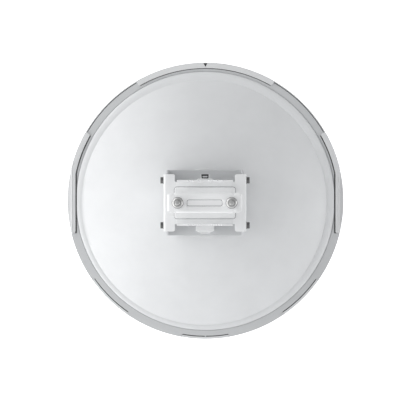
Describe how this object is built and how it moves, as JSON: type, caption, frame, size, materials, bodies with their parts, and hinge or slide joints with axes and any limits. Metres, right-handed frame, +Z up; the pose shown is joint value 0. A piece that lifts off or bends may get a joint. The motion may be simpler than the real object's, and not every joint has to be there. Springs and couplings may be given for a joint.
{
  "type": "parabolic dish antenna",
  "caption": "Round parabolic dish antenna with a closed radome, on a tilting sheet-metal bracket that clamps to a mast.",
  "frame": {"origin": "middle of the pole bracket's raised flat panel, on the face that looks at the mast", "axes": "+Z up along the mast, +Y along the dish's line of sight at zero tilt, +X to the right as seen from behind"},
  "size_m": [0.459, 0.2893, 0.459],
  "materials": {
    "white_powder_coat": "satin white powder coat",
    "white_plastic": "satin moulded plastic",
    "bracket_coat": "light grey powder coat",
    "bright_zinc": "bright zinc plate",
    "dark_zinc": "dark zinc plate",
    "black_plastic": "matt moulded plastic"
  },
  "bodies": {
    "mount": {"pole_bracket": "bracket_coat", "tilt_bolt_left_upper": "dark_zinc", "tilt_bolt_left_lower": "dark_zinc", "tilt_bolt_right_upper": "dark_zinc", "tilt_bolt_right_lower": "dark_zinc", "tilt_nut_left_upper": "dark_zinc", "tilt_nut_left_lower": "dark_zinc", "tilt_nut_right_upper": "dark_zinc", "tilt_nut_right_lower": "dark_zinc", "clamp_bolt_left": "bright_zinc", "clamp_bolt_right": "bright_zinc"},
    "dish": {"dish_reflector": "white_powder_coat", "shroud_ring": "white_plastic", "radome_cover": "white_plastic", "rim_clip_top": "white_plastic", "rim_clip_left": "white_plastic", "rim_clip_right": "white_plastic", "hub_boss": "white_plastic", "base_bracket": "bracket_coat", "hub_screw_1": "bright_zinc", "hub_screw_2": "bright_zinc", "hub_screw_3": "bright_zinc", "hub_screw_4": "bright_zinc", "rear_housing": "white_plastic", "release_latch": "black_plastic", "port_cover": "white_plastic"},
    "clamp": {"pole_clamp": "bracket_coat", "clamp_nut_left": "bright_zinc", "clamp_nut_right": "bright_zinc"}
  },
  "joints": [
    {"name": "dish_tilt", "type": "hinge", "parent": "mount", "child": "dish", "pos_m": [0, 0.035, 0], "axis": [1, 0, 0], "range_deg": [-15, 15]},
    {"name": "clamp_slide", "type": "slide", "parent": "mount", "child": "clamp", "axis": [0, -1, 0], "range_m": [-0.0126, 0.0105]}
  ]
}
